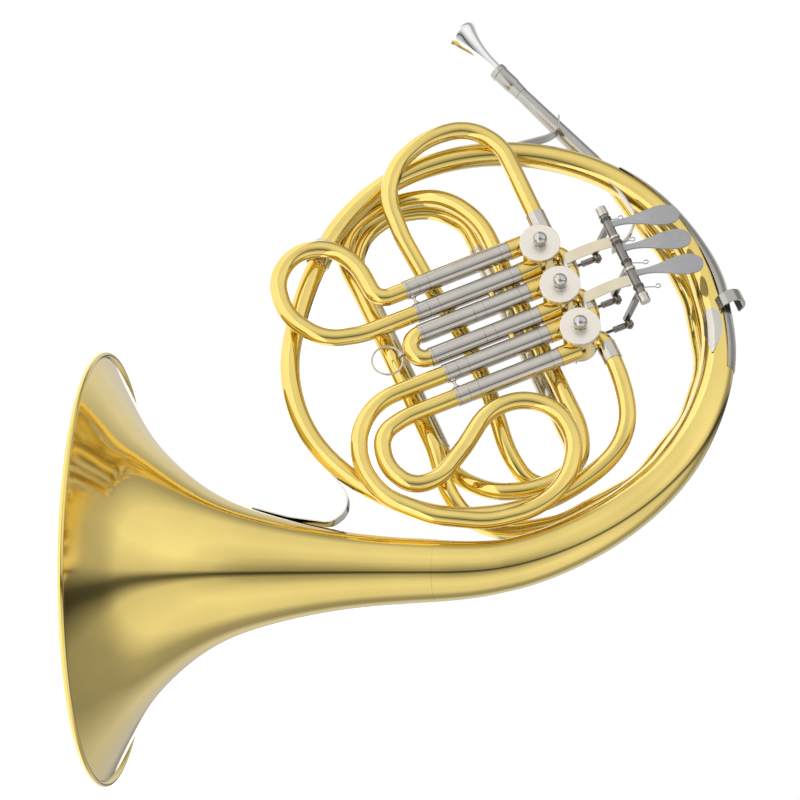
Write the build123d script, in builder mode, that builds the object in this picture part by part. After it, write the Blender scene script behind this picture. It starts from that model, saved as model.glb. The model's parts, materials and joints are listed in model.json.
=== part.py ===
"""French horn: a single horn in F with three rotary valves and a mechanical linkage.

The horn stands on its bell.  The origin is the centre of the bell's mouth, +Z runs up the
bell's axis, -X points to the top of the wrap and -Y to the side with the valve caps.

The tubing lies in a wrap plane that leans back from the bell's axis.  It has its own
coordinates, measured from the middle valve: x runs along the valve slides towards the
levers, y runs across them towards the first valve, z stands out on the side of the caps.
"""
import os
from math import cos, radians, sin, tan

from build123d import *

os.makedirs("parts", exist_ok=True)

# ---------------------------------------------------------------- driving dimensions (mm)
bell_radius = 155.0           # mouth of the bell, outside its wire
bell_wall = 1.2               # heavy enough for the horn to stand on its bell
flare_height = 240.0          # the bell's straight axis ends here and enters the wrap plane
rim_wire = 2.2                # radius of the wire rolled into the rim

lean = 9.1                    # degrees that the wrap plane leans back from the bell's axis
turn = 27.5                   # degrees from -X to the line of the valves, within the plane
wrap_x, wrap_y = 163.7, 155.6  # from the end of the bell's axis to the middle valve

tube_radius = 6.3             # cylindrical tubing, outside
bore_radius = 5.8
sleeve_radius = 7.0           # outer slide tubes and ferrules
sleeve_bore = 6.35
slide_depth = 17.0            # height of the valve slides above the wrap plane
coil_front, coil_back = -3.0, -27.5   # the two turns of tubing behind the valve slides

valve_rows = {1: 37.0, 2: 1.2, 3: -34.6}   # y of each valve
leg_offset = 9.9              # each slide leg from its valve's middle
casing_radius = 13.0
casing_bore = 11.5
casing_back, casing_front = 2.0, 31.0
rotor_radius = 11.42
shaft_radius = 2.5
cap_radius = 14.6
cap_front = 33.0
running = 0.06                # radial clearance of turning and sliding fits

link_plane = -14.0            # height of the ball links
ball_arm = 8.5                # stop arm, from the rotor's axis to its stud
hinge_x, hinge_z = 52.4, 24.0  # axis of the lever hinge
lever_slant = 10.0            # the back arm ends this much nearer to the valves
lever_travel = 19.3           # degrees of a lever's full stroke
link_rows = {1: 29.7, 2: -6.1, 3: -27.3}   # y of each ball link
lever_spans = {1: (24.2, 41.6), 2: (-2.9, 21.6), 3: (-25.2, -5.7)}    # barrel ends, y
lever_roots = {1: 33.4, 2: 12.5, 3: -9.0}
hinge_low, hinge_high = -27.7, 44.2
screw_length = 4.5

# ---------------------------------------------------------------- the wrap plane
up_bell = Vector(0, sin(radians(lean)), cos(radians(lean)))
wrap_normal = Vector(0, -cos(radians(lean)), sin(radians(lean)))
to_levers = Vector(-1, 0, 0) * sin(radians(turn)) + up_bell * cos(radians(turn))
to_first = Vector(-1, 0, 0) * cos(radians(turn)) - up_bell * sin(radians(turn))
middle_valve = Vector(0, 0, flare_height) + to_levers * wrap_x + to_first * wrap_y
wrap = Plane(origin=middle_valve, x_dir=to_levers, z_dir=wrap_normal)


def place(x, y, z=0.0):
    """A point given in the wrap plane's own coordinates."""
    return middle_valve + to_levers * x + to_first * y + wrap_normal * z


def level(z, x=0.0, y=0.0):
    """A plane parallel to the wrap plane, centred at x, y and height z."""
    return Plane(origin=place(x, y, z), x_dir=to_levers, z_dir=wrap_normal)


def along_slides(x, y, z):
    """A plane across the valve slides, facing the levers."""
    return Plane(origin=place(x, y, z), x_dir=to_first, z_dir=to_levers)


def across_slides(y, x, z):
    """A plane across the lever hinge and the coil's legs, facing the first valve."""
    return Plane(origin=place(x, y, z), x_dir=wrap_normal, z_dir=to_first)


# ---------------------------------------------------------------- tube makers
def bent_line(points, share=0.48, widest=60.0):
    """Straight runs joined by arcs that use a share of the shorter run at each corner."""
    last = points[0]
    for before, here, after in zip(points, points[1:], points[2:]):
        first, second = here - before, after - here
        half_turn = radians(first.get_angle(second)) / 2
        reach = share * min(first.length, second.length)
        reach = min(reach, widest * tan(half_turn))
        bulge = reach / tan(half_turn) * (1 / cos(half_turn) - 1)
        enter = here - first.normalized() * reach
        leave = here + second.normalized() * reach
        inward = (second.normalized() - first.normalized()).normalized()
        if (enter - last).length > 0.01:
            Line(last, enter)
        ThreePointArc(enter, here + inward * bulge, leave)
        last = leave
    Line(last, points[-1])


def tube(points, outside=tube_radius, inside=bore_radius, share=0.48):
    """A round tube on straight runs joined by arcs."""
    with BuildPart() as made:
        with BuildLine() as route:
            bent_line(points, share)
        with BuildSketch(Plane(origin=route.line @ 0, z_dir=route.line % 0)):
            Circle(outside)
            if inside:
                Circle(inside, mode=Mode.SUBTRACT)
        sweep(path=route.line)
    return made.part


def tapered(points, radii, wall, start, end):
    """A conical tube through round sections along a smooth line."""
    with BuildLine():
        spine = Spline(*points, tangents=(start, end))
    stations = [spine.param_at_point(point) for point in points]
    with BuildPart() as made:
        for take_off, mode in ((0.0, Mode.ADD), (wall, Mode.SUBTRACT)):
            if mode == Mode.SUBTRACT and not wall:
                continue          # a solid plug, for cutting a seat round the tube
            for station, radius in zip(stations, radii):
                section = Plane(origin=spine @ station, x_dir=wrap_normal, z_dir=spine % station)
                with BuildSketch(section):
                    Circle(radius - take_off)
            loft(mode=mode)
    return made.part


def strip(points, width, thick, across, share=0.4):
    """A flat metal strip bent along a route; its width lies along the direction across."""
    with BuildPart() as made:
        with BuildLine() as route:
            bent_line(points, share)
        with BuildSketch(Plane(origin=route.line @ 0, x_dir=across, z_dir=route.line % 0)):
            Rectangle(width, thick)
        sweep(path=route.line)
    return made.part


def rod(plane, radius, length, bore=0.0):
    """A round bar or tube that stands on a plane."""
    with BuildPart() as made:
        with BuildSketch(plane):
            Circle(radius)
            if bore:
                Circle(bore, mode=Mode.SUBTRACT)
        extrude(amount=length)
    return made.part


def keep(name, *pieces):
    """Label one sub-part and write it as a closed STEP."""
    solids = [solid for piece in pieces for solid in piece.solids()]
    whole = solids[0] if len(solids) == 1 else Compound(children=solids)
    whole.label = name
    export_step(whole, f"parts/{name}.step")
    return whole


# ---------------------------------------------------------------- bell
# radius of the flare's outside at heights above the mouth
flare_outline = [(152.6, 1.2), (138.0, 8.2), (118.0, 19.0), (100.3, 30.0), (76.4, 51.6),
                 (53.0, 84.1), (40.5, 116.6), (31.8, 152.0), (26.4, 186.0), (22.0, 240.0)]
mouth_slope, throat_slope = (-2.3, 1.0), (-0.065, 1.0)


def flare_face(inset):
    """Half of the flare's outline in the XZ plane, moved in by the wall."""
    return [(radius - inset, height) for radius, height in flare_outline]


with BuildPart() as bell_flare:
    with BuildSketch(Plane.XZ):
        with BuildLine():
            outer = Spline(*flare_face(0.0), tangents=(mouth_slope, throat_slope))
            inner = Spline(*flare_face(bell_wall), tangents=(mouth_slope, throat_slope))
            Line(outer @ 0, inner @ 0)
            Line(outer @ 1, inner @ 1)
        make_face()
    revolve(axis=Axis.Z)
keep("bell_flare", bell_flare.part)

with BuildPart() as bell_rim:
    with BuildSketch(Plane.XZ):
        with Locations((bell_radius - rim_wire, rim_wire * 0.75)):
            Circle(rim_wire)
        with Locations((bell_radius, -rim_wire)):
            Rectangle(6 * rim_wire, 2 * rim_wire, mode=Mode.SUBTRACT)
    revolve(axis=Axis.Z)
    with BuildSketch(Plane.XZ):
        with BuildLine():
            rim_outer = Spline(*flare_face(-0.02), tangents=(mouth_slope, throat_slope))
            rim_inner = Spline(*flare_face(bell_wall + 0.02), tangents=(mouth_slope, throat_slope))
            Line(rim_outer @ 0, rim_inner @ 0)
            Line(rim_outer @ 1, rim_inner @ 1)
        make_face()
    revolve(axis=Axis.Z, mode=Mode.SUBTRACT)
keep("bell_rim", bell_rim.part.solids().sort_by(SortBy.VOLUME)[-1])

# ---------------------------------------------------------------- bell tail and branch
bell_tip = Vector(0, 0, flare_height)
tail_points = [bell_tip, place(-121, -172, 4), place(-72, -176, 5), place(-23, -168, 4),
               place(24, -148, 3), place(57, -122, 2), place(84, -88, 1), place(100, -45, 0)]
tail_radii = [22.0, 18.7, 17.4, 16.3, 14.9, 13.4, 12.2, 11.4]
tail_end = Vector(to_levers * 0.17 + to_first)
bell_tail = tapered(tail_points, tail_radii, bell_wall, Vector(0, 0, 1), tail_end)
keep("bell_tail", bell_tail)

branch_points = [place(100, -45), place(104, 0), place(94, 43), place(73, 80),
                 place(45, 107), place(8, 128), place(-33, 138.5), place(-77, 137),
                 place(-113, 124), place(-141, 104)]
branch_radii = [11.4, 10.7, 10.0, 9.5, 9.1, 8.7, 8.3, 7.9, 7.5, 7.2]
branch_end = Vector(to_levers * -0.72 - to_first * 0.69)
first_branch = tapered(branch_points, branch_radii, 0.55, tail_end, branch_end)
keep("first_branch", first_branch)

small_points = [place(-141, 104), place(-158, 87), place(-177, 64), place(-196, 33),
                place(-204, 5), place(-205, -20), place(-195, -57), place(-175, -88),
                place(-155, -109), place(-132, -124, 1), place(-104, -134, 2),
                place(-70, -138, 3), place(-36, -133, 4), place(-9, -122, 7.5),
                place(6, -105, 12), place(12, -85, 15), place(14, -62, slide_depth)]
small_radii = [7.2, 7.2, 7.2, 7.1, 7.1, 7.1, 7.0, 6.9, 6.9, 6.8, 6.7, 6.6, 6.5, 6.4, 6.3, 6.3, 6.3]
small_end = Vector(to_first)
valve_branch = tapered(small_points, small_radii, 0.5, branch_end, small_end)
keep("valve_branch", valve_branch)

joint = place(-141, 104)
branch_ferrule = rod(Plane(origin=joint - branch_end * 9, z_dir=branch_end), 8.7, 18)
branch_ferrule -= tapered(branch_points, branch_radii, 0, tail_end, branch_end)
branch_ferrule -= tapered(small_points, small_radii, 0, branch_end, small_end)
keep("branch_ferrule", branch_ferrule)

# ---------------------------------------------------------------- valves
bearings = []
for number, row in valve_rows.items():
    leg_rows = (row + leg_offset, row - leg_offset)

    with BuildPart() as casing:
        with BuildSketch(level(casing_back, 0, row)):
            Circle(casing_radius)
            Circle(casing_bore, mode=Mode.SUBTRACT)
        extrude(amount=casing_front - casing_back)
        with BuildSketch(level(casing_back, 0, row)):
            Circle(casing_radius)
            Circle(shaft_radius + running, mode=Mode.SUBTRACT)
        extrude(amount=2.0)
        for leg in leg_rows:
            with BuildSketch(along_slides(-casing_radius - 1, leg, slide_depth)):
                Circle(bore_radius - 0.8)
            extrude(amount=casing_radius, mode=Mode.SUBTRACT)
    keep(f"valve_casing_{number}", casing.part)

    with BuildPart() as rotor:
        with BuildSketch(level(casing_back + 2.3, 0, row)):
            Circle(rotor_radius)
        extrude(amount=24.0)
        for side in (1, -1):
            with BuildSketch(level(slide_depth - 6.2, side * 14.0, row)):
                Circle(11.0)
            extrude(amount=12.4, mode=Mode.SUBTRACT)
        with BuildSketch(level(-11.0, 0, row)):
            Circle(shaft_radius)
        extrude(amount=41.0)
    keep(f"rotor_{number}", rotor.part)

    with BuildPart() as bearing:
        with BuildSketch(level(28.6, 0, row)):
            Circle(casing_bore)
            Circle(shaft_radius + running, mode=Mode.SUBTRACT)
        extrude(amount=1.9)
    bearings.append(bearing.part)
keep("front_bearings", *bearings)

caps = []
for row in valve_rows.values():
    with BuildPart() as cap:
        with BuildSketch(level(casing_front, 0, row)):
            Circle(cap_radius)
        extrude(amount=cap_front - casing_front)
        with BuildSketch(level(casing_front - 2.6, 0, row)):
            Circle(cap_radius)
            Circle(casing_radius + 0.02, mode=Mode.SUBTRACT)
        extrude(amount=2.6)
        chamfer(cap.edges().filter_by(GeomType.CIRCLE).sort_by(Axis(wrap.origin, wrap_normal))[-1], 0.4)
        with BuildSketch(level(cap_front, 0, row)):
            Circle(2.8)
        extrude(amount=3.0)
        with Locations(Location(place(0, row, cap_front + 6.0))):
            Sphere(5.2)
    caps.append(cap.part)
keep("valve_caps", *caps)

# rubber stops stand on a crescent plate under each valve, where the stop arm's tail ends
stop_plates, stop_bumpers = [], []
for number, row in valve_rows.items():
    side = 1 if number == 3 else -1          # the side of the valve that its link runs on
    with BuildPart() as plate:
        with BuildSketch(level(casing_back - 2.0, 0, row)):
            Circle(casing_radius)
            Circle(4.0, mode=Mode.SUBTRACT)
        extrude(amount=2.0)
    stop_plates.append(plate.part)
    for angle in (20.2, 159.8):
        out, over = 9.5 * cos(radians(angle)), 9.5 * sin(radians(angle))
        stop_bumpers.append(rod(level(-8.5, out, row - side * over), 1.7, 8.5))
keep("stop_plates", *stop_plates)
keep("stop_bumpers", *stop_bumpers)

# a stop arm carries its stud on the link's side and a tail that meets the rubber stops
for number, row in valve_rows.items():
    side = 1 if number == 3 else -1
    stud_x, stud_y = ball_arm * sin(radians(45)), side * ball_arm * cos(radians(45))
    with BuildPart() as stop_arm:
        with BuildSketch(level(-11.0, 0, row)):
            Circle(5.0)
            with Locations((stud_x, stud_y)):
                Circle(3.0)
            with Locations(Location((stud_x / 2, stud_y / 2), (0, 0, 45 * side))):
                Rectangle(ball_arm, 5.4)
        extrude(amount=2.0)
        with BuildSketch(level(-9.0, 0, row)):
            Circle(5.0)
        extrude(amount=8.0)
        with BuildSketch(level(-7.5, 0, row)):
            with Locations(Location((-5.3, -side * 5.3), (0, 0, 45 * side))):
                Rectangle(8.0, 4.4)
        extrude(amount=4.0)
        with BuildSketch(level(-18.5, stud_x, row + stud_y)):
            Circle(1.3)
        extrude(amount=7.6)
        with BuildSketch(level(-12.0, 0, row)):
            Circle(shaft_radius)
        extrude(amount=12.0, mode=Mode.SUBTRACT)
    keep(f"stop_arm_{number}", stop_arm.part)

# ---------------------------------------------------------------- valve slides
joint_x = {1: -91.0, 2: -63.0, 3: -91.0}      # where the moving ferrule meets its outer tube
bow_x = {1: -101.0, 2: -105.0, 3: -101.0}     # where the bow leaves the ferrule
knuckle_x = -20.0
inner_end_x = {1: -34.0, 2: -34.0, 3: -34.0}
bow_routes = {
    1: [(-101, 46.9), (-122, 46.9), (-124, 80), (-137, 100), (-161, 106), (-182, 92),
        (-187, 62), (-169, 34), (-142, 27.1), (-101, 27.1)],
    3: [(-101, -24.7), (-152, -24.7), (-174, -40), (-184, -66), (-179, -95), (-152, -123),
        (-118, -142), (-84, -147), (-54, -136), (-35, -109), (-38, -80), (-58, -63),
        (-85, -63), (-110, -82), (-136, -98), (-157, -96), (-168, -74), (-161, -50),
        (-140, -44.5), (-101, -44.5)],
}

knuckles, tube_posts = [], []
for number, row in valve_rows.items():
    legs = (row + leg_offset, row - leg_offset)
    joint, bow_start = joint_x[number], bow_x[number]
    sleeves, moving = [], []
    for leg in legs:
        sleeves.append(rod(along_slides(joint, leg, slide_depth), sleeve_radius, knuckle_x - joint, sleeve_bore))
        with BuildPart() as slide_leg:
            with BuildSketch(along_slides(bow_start, leg, slide_depth)):
                Circle(sleeve_radius)
                Circle(bore_radius, mode=Mode.SUBTRACT)
            extrude(amount=joint - bow_start)
            with BuildSketch(along_slides(joint, leg, slide_depth)):
                Circle(tube_radius)
                Circle(bore_radius, mode=Mode.SUBTRACT)
            extrude(amount=inner_end_x[number] - joint)
        moving.append(slide_leg.part)
        with BuildPart() as knuckle:
            with BuildSketch(along_slides(knuckle_x, leg, slide_depth)):
                Circle(sleeve_radius + 0.3)
                Circle(bore_radius, mode=Mode.SUBTRACT)
            extrude(amount=casing_radius + 2)
            with BuildSketch(level(0, 0, row)):
                Circle(casing_radius + 0.01)
            extrude(amount=casing_front, mode=Mode.SUBTRACT)
        knuckles.append(knuckle.part.solids().sort_by(SortBy.VOLUME)[-1])
    if number != 2:
        post_x = bow_start + 4
        gap = 2 * leg_offset - 2 * sleeve_radius
        post_plane = across_slides(row - gap / 2, post_x, slide_depth)
        moving.append(rod(post_plane, 1.5, gap))
    keep(f"slide_{number}_outer_tubes", *sleeves)
    keep(f"slide_{number}_legs", *moving)

keep("valve_knuckles", *knuckles)

for number in (1, 3):
    route = [place(x, y, slide_depth) for x, y in bow_routes[number]]
    keep(f"slide_{number}_bow", tube(route))

with BuildPart() as second_bow:
    with BuildLine() as bow_line:
        top_row, low_row = valve_rows[2] + leg_offset, valve_rows[2] - leg_offset
        ThreePointArc(place(bow_x[2], top_row, slide_depth),
                      place(bow_x[2] - leg_offset, valve_rows[2], slide_depth),
                      place(bow_x[2], low_row, slide_depth))
    with BuildSketch(Plane(origin=bow_line.line @ 0, z_dir=bow_line.line % 0)):
        Circle(tube_radius)
        Circle(bore_radius, mode=Mode.SUBTRACT)
    sweep(path=bow_line.line)
keep("slide_2_bow", second_bow.part)

# eyelet and pull ring on the second slide's bow
eye_x = bow_x[2] - leg_offset - tube_radius
ring_wire, ring_mean, eye_hole = 0.8, 11.0, 1.5
with BuildPart() as eyelet:
    with BuildSketch(across_slides(valve_rows[2] - 1.1, eye_x - 1.7, slide_depth)):
        Circle(2.6)
        Circle(eye_hole, mode=Mode.SUBTRACT)
    extrude(amount=2.2)
    with Locations(Location(level(slide_depth, bow_x[2], valve_rows[2]))):
        Torus(leg_offset, tube_radius + 0.005, mode=Mode.SUBTRACT)
keep("ring_eyelet", eyelet.part)

ring_centre = place(eye_x - 1.7 - ring_mean, valve_rows[2], slide_depth)
with BuildPart() as pull_ring:
    with BuildLine() as ring_line:
        CenterArc((0, 0), ring_mean, 0, 360)
    with BuildSketch(Plane.XZ.move(Location((ring_mean, 0, 0)))):
        Circle(ring_wire)
    sweep(path=ring_line.line)
ring_placed = Plane(origin=ring_centre, x_dir=to_levers, z_dir=wrap_normal).location * pull_ring.part
keep("pull_ring", ring_placed)

# ---------------------------------------------------------------- tubes between the valves
passage_x = 14.0
crossovers, ferrules = [], []
casing_plugs = Compound(children=[
    rod(level(0, 0, row), casing_radius + 0.01, casing_front) for row in valve_rows.values()])
for upper, lower in ((1, 2), (2, 3)):
    top, bottom = valve_rows[upper], valve_rows[lower]
    route = [place(4, top - 5, slide_depth), place(passage_x, top - 8, slide_depth),
             place(passage_x, bottom + 8, slide_depth), place(4, bottom + 5, slide_depth)]
    crossovers.append(tube(route) - casing_plugs)
    middle = (top + bottom) / 2
    ferrules.append(rod(across_slides(middle - 4, passage_x, slide_depth), 6.95, 8.0, tube_radius + 0.01)
                    - casing_plugs)
outlet_top = valve_rows[3]
outlet = tube([place(4, outlet_top - 5, slide_depth), place(passage_x, outlet_top - 9, slide_depth),
               place(passage_x, -62, slide_depth)]) - casing_plugs
crossovers.append(outlet)
ferrules.append(rod(across_slides(-62, passage_x, slide_depth), 7.0, 13.5, tube_radius + 0.01) - casing_plugs)
ferrules.append(rod(across_slides(51.5, 9, slide_depth), 7.0, 14.5, tube_radius + 0.01) - casing_plugs)
keep("valve_crossovers", *crossovers)
keep("valve_ferrules", *ferrules)

# ---------------------------------------------------------------- loop into the first valve
inlet_route = [(-30.5, -57, coil_back), (-30.5, -96, coil_back), (-39, -114, -26.5),
               (-57, -120, -24), (-74, -111, -17), (-79, -88, -9), (-74, -45, -3), (-72, 0, -3),
               (-79, 45, -1), (-84, 90, 9), (-83, 121, 15), (-67, 142, slide_depth),
               (-38, 153, slide_depth), (-8, 149, slide_depth), (9, 127, slide_depth),
               (9, 44, slide_depth)]
inlet_loop = tube([place(*point) for point in inlet_route]) - casing_plugs
keep("inlet_loop", inlet_loop)

# ---------------------------------------------------------------- coil behind the valve slides
pipe_start, pipe_end = place(24, 237, -18), place(72.4, 103.1, -20.3)
pipe_heading = (pipe_end - pipe_start).normalized()
leadpipe_corners = [(83, 55, -20), (91, 16, -20), (92, -26, -20), (79, -78, -20),
                    (50, -112, -20), (0, -141, -20), (-64, -149, -20), (-104, -140, -20),
                    (-124, -122, -17), (-131, -98, -9), (-126.5, -68, coil_front),
                    (-126.5, -30, coil_front)]
leadpipe_route = [pipe_end, pipe_end + pipe_heading * 15] + [place(*point) for point in leadpipe_corners]
leadpipe = tube(leadpipe_route)
keep("leadpipe", leadpipe)

outer_route = [(-126.5, -30, coil_front), (-126.5, 62, coil_front), (-127, 100, -8.5), (-109, 122.5, -14.2),
               (-73, 128, -12), (-41, 115, -5), (-25, 85, coil_front), (-25, -94, coil_front),
               (-34, -116, -3.5), (-56, -124, -4.5), (-80, -122, -5), (-101, -113, -7),
               (-114, -96, -14), (-119, -80, -23), (-118.5, -66, coil_back),
               (-118.5, -57, coil_back)]
outer_coil = tube([place(*point) for point in outer_route])
keep("outer_coil", outer_coil)

tuning_x = (-118.5, -30.5)
tuning_top, tuning_joint, tuning_low, tuning_inner = 76.0, 66.0, -60.0, 8.0
sleeves, moving = [], []
for x in tuning_x:
    low_end = across_slides(tuning_low, x, coil_back)
    sleeve = rod(low_end, sleeve_radius, tuning_joint - tuning_low, tube_radius)
    sleeve -= rod(across_slides(tuning_low + 3, x, coil_back), sleeve_bore, tuning_joint - tuning_low)
    sleeves.append(sleeve)
    with BuildPart() as leg:
        with BuildSketch(across_slides(tuning_joint, x, coil_back)):
            Circle(sleeve_radius)
            Circle(bore_radius, mode=Mode.SUBTRACT)
        extrude(amount=tuning_top - tuning_joint)
        with BuildSketch(across_slides(tuning_inner, x, coil_back)):
            Circle(tube_radius)
            Circle(bore_radius, mode=Mode.SUBTRACT)
        extrude(amount=tuning_joint - tuning_inner)
    moving.append(leg.part)
keep("tuning_slide_sleeves", *sleeves)
keep("tuning_slide_legs", *moving)

tuning_route = [(-118.5, tuning_top), (-118.5, 99), (-103, 118), (-77, 126), (-47, 118),
                (-30.5, 97), (-30.5, tuning_top)]
tuning_bow = tube([place(x, y, coil_back) for x, y in tuning_route])
keep("tuning_slide_bow", tuning_bow)

# ---------------------------------------------------------------- mouthpiece and leadpipe
pipe_length = (pipe_end - pipe_start).length
collar_start, collar_end, shank_end = 40.0, 58.0, 64.0
pipe_plane = Plane(origin=pipe_start, x_dir=wrap_normal, z_dir=pipe_heading)

with BuildPart() as mouthpiece:
    with BuildSketch(Plane.XZ):
        with BuildLine():
            Polyline((8.6, 0.6), (11.2, 0.0), (12.3, 0.9), (12.6, 2.4), (12.2, 4.2))
            Spline((12.2, 4.2), (9.4, 10.0), (6.6, 19.0), (4.9, 30.0), (4.6, collar_start))
            Polyline((4.6, collar_start), (3.9, shank_end), (2.9, shank_end), (2.0, 30.0))
            Spline((2.0, 30.0), (3.2, 22.0), (6.4, 10.0), (8.6, 0.6))
        make_face()
    revolve(axis=Axis.Z)
keep("mouthpiece", pipe_plane.location * mouthpiece.part)

with BuildPart() as receiver:
    with BuildSketch(Plane.XZ):
        with BuildLine():
            Polyline((4.6 + running, collar_start + 0.05), (6.3, collar_start + 0.05), (6.5, collar_start + 1.2),
                     (6.5, collar_start + 4), (6.0, collar_start + 4.6), (6.0, collar_end - 1), (5.6, collar_end),
                     (5.2, collar_end + 8), (3.9 + running, collar_end + 8), (3.9 + running, shank_end + 0.05),
                     close=True)
        make_face()
    revolve(axis=Axis.Z)
keep("mouthpiece_receiver", pipe_plane.location * receiver.part)

with BuildPart() as leadpipe_tip:
    with BuildSketch(Plane.XZ):
        with BuildLine():
            Polyline((3.96, collar_end + 8.01), (5.0, collar_end + 8.01), (tube_radius, pipe_length),
                     (bore_radius, pipe_length), close=True)
        make_face()
    revolve(axis=Axis.Z)
keep("leadpipe_tip", pipe_plane.location * leadpipe_tip.part)

# ---------------------------------------------------------------- levers
rod_radius, barrel_radius = 1.6, 3.4

hinge_rod = rod(across_slides(hinge_low, hinge_x, hinge_z), rod_radius, hinge_high - hinge_low)
keep("hinge_rod", hinge_rod)

screws = []
for start in (hinge_high, hinge_low - screw_length):
    screws.append(rod(across_slides(start, hinge_x, hinge_z), 3.9, screw_length))
keep("hinge_screws", *screws)

saddle_rows = {"end_high": (43.0, 2.4), "first_second": (22.9, 2.0), "second_third": (-4.3, 2.2),
               "end_low": (-26.6, 2.2)}
saddles = []
for name, (row, wide) in saddle_rows.items():
    with BuildPart() as saddle:
        with BuildSketch(across_slides(row - wide / 2, hinge_x, hinge_z)):
            Circle(4.1)
            if name == "first_second":
                with Locations((-11.5, 0)):
                    Rectangle(23.0, 4.0)
            Circle(rod_radius, mode=Mode.SUBTRACT)
        extrude(amount=wide)
    saddles.append(saddle.part)
keep("lever_saddles", *saddles)

# a touch-piece, its hinge barrel and the arm that reaches back to the ball link
springs = []
for number, (low, high) in lever_spans.items():
    root, link_row = lever_roots[number], link_rows[number]
    with BuildPart() as lever:
        with BuildSketch(across_slides(root - 25, hinge_x, hinge_z)):
            with BuildLine():
                Spline((3.2, 0), (4.2, 14), (7.4, 28), (7.8, 40), (6.6, 51))
                Line((6.6, 51), (5.0, 51))
                Spline((5.0, 51), (6.2, 40), (5.8, 28), (2.4, 14), (1.2, 0))
                Line((1.2, 0), (3.2, 0))
            make_face()
        extrude(amount=34)
        with BuildSketch(level(hinge_z, hinge_x, root)):
            with BuildLine():
                Spline((0.0, 3.0), (15.0, -0.6), (26.0, -1.6), (36.0, -2.2), (44.0, -4.5), (49.5, -11.0),
                       (46.0, -17.5), (38.0, -18.4), (28.0, -14.2), (15.0, -6.2), (0.0, -3.0))
                Line((0.0, -3.0), (0.0, 3.0))
            make_face()
        extrude(amount=12.0, mode=Mode.INTERSECT)
        with BuildSketch(across_slides(low, hinge_x, hinge_z)):
            Circle(barrel_radius)
        extrude(amount=high - low)
        with BuildSketch(across_slides(link_row + 3.3, hinge_x, hinge_z)):
            drop = link_plane - hinge_z
            with BuildLine():
                Polyline((0, 2.6), (0, -2.6), (drop, -lever_slant - 2.4), (drop - 2.4, -lever_slant),
                         (drop, -lever_slant + 2.4), close=True)
            make_face()
        extrude(amount=2.7)
        with BuildSketch(across_slides(link_row - 3.6, hinge_x - lever_slant, link_plane)):
            Circle(1.5)
        extrude(amount=8.0)
        with BuildSketch(across_slides(low - 1, hinge_x, hinge_z)):
            Circle(rod_radius + running)
        extrude(amount=high - low + 2, mode=Mode.SUBTRACT)
    keep(f"lever_{number}", lever.part)

    link_length = hinge_x - lever_slant - stud_x
    with BuildPart() as link:
        with BuildSketch(across_slides(link_row - 2.5, hinge_x - lever_slant, link_plane)):
            Circle(3.3)
        extrude(amount=5.0)
        with BuildSketch(along_slides(stud_x + 3.6, link_row, link_plane)):
            Circle(1.2)
        extrude(amount=link_length - 5.0)
        with BuildSketch(along_slides(hinge_x - lever_slant - 14.0, link_row, link_plane)):
            RegularPolygon(2.4, 6)
        extrude(amount=12.0)
        with BuildSketch(level(link_plane - 1.5, stud_x, link_row)):
            Circle(4.5)
        extrude(amount=3.0)
        with BuildSketch(level(link_plane - 2, stud_x, link_row)):
            Circle(2.9)
        extrude(amount=4.0, mode=Mode.SUBTRACT)
        with BuildSketch(across_slides(link_row - 3.0, hinge_x - lever_slant, link_plane)):
            Circle(1.5 + running)
        extrude(amount=6.0, mode=Mode.SUBTRACT)
    keep(f"link_{number}", link.part)

    coil_row = {1: 25.8, 2: 3.0, 3: -19.5}[number]
    with BuildPart() as spring:
        for step in range(3):
            with Locations(Location(across_slides(coil_row + 0.5 + 0.8 * step, hinge_x, hinge_z))):
                Torus(4.1, 0.45)
        with BuildSketch(level(hinge_z - 4.1, hinge_x, coil_row + 1.3)):
            with Locations((6.5, 0)):
                Rectangle(13.0, 0.8)
        extrude(amount=0.4, both=True)
    springs.append(spring.part)
keep("lever_springs", *springs)

# ---------------------------------------------------------------- straps, braces and posts
tail_plug = tapered(tail_points, tail_radii, 0, Vector(0, 0, 1), tail_end)
branch_plug = tapered(branch_points, branch_radii, 0, tail_end, branch_end)
small_plug = tapered(small_points, small_radii, 0, branch_end, small_end)
leadpipe_plug = tube(leadpipe_route, tube_radius, 0)
coil_plug = tube([place(*point) for point in outer_route], tube_radius, 0)
tip_plug = Solid.make_cone(5.0, tube_radius, pipe_length - collar_end - 8,
                           Plane(origin=pipe_start + pipe_heading * (collar_end + 8), z_dir=pipe_heading))


def post(start, end, radius=1.8):
    """A round brace post between two points."""
    return rod(Plane(origin=start, z_dir=end - start), radius, (end - start).length)


bridges = []
for row_start, row_end in ((21.5, 21.0), (-12.1, -12.0)):
    route = [place(passage_x - 1, row_start, 23.9), place(passage_x + 9, row_start, 26.0),
             place(38, row_end, 27.0), place(hinge_x - 4.0, row_end, 24.4)]
    bridge = strip(route, 8.0, 1.4, to_first)
    bridge -= rod(across_slides(-70, passage_x, slide_depth), 6.96, 140)
    bridge -= rod(across_slides(-70, hinge_x, hinge_z), 4.1, 140)
    bridges.append(bridge)
keep("key_bridges", *bridges)

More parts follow.
